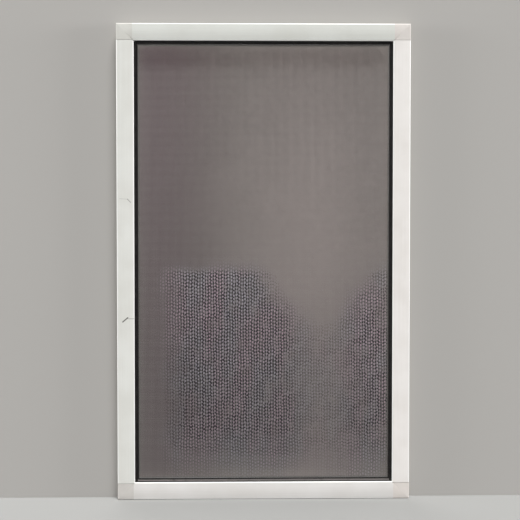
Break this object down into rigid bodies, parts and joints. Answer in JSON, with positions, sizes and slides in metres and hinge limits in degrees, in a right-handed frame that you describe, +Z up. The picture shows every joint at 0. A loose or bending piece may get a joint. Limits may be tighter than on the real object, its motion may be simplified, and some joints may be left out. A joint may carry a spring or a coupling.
{
  "type": "window insect screen frame",
  "caption": "Upright rectangular insect screen: hollow white frame with moulded corner keys and dark woven mesh locked in a groove round the opening.",
  "frame": {"origin": "middle of the bottom edge, halfway through the depth", "axes": "+Z up along the stiles, +X to the right along the rails as seen from the front, +Y from the front face to the back face"},
  "size_m": [0.42, 0.011, 0.682],
  "materials": {
    "white_members": "white stoved paint on extruded aluminium, satin",
    "corner_plastic": "moulded off-white plastic, fine matt grain",
    "mesh_cloth": "plain woven coated yarn, charcoal",
    "spline_rubber": "black, ribbed along its length, matt"
  },
  "bodies": {
    "root": {"left_stile": "white_members", "right_stile": "white_members", "top_rail": "white_members", "bottom_rail": "white_members", "corner_top_left": "corner_plastic", "corner_top_right": "corner_plastic", "corner_bottom_left": "corner_plastic", "corner_bottom_right": "corner_plastic", "insect_mesh": "mesh_cloth", "left_spline": "spline_rubber", "right_spline": "spline_rubber", "top_spline": "spline_rubber", "bottom_spline": "spline_rubber"}
  },
  "joints": []
}
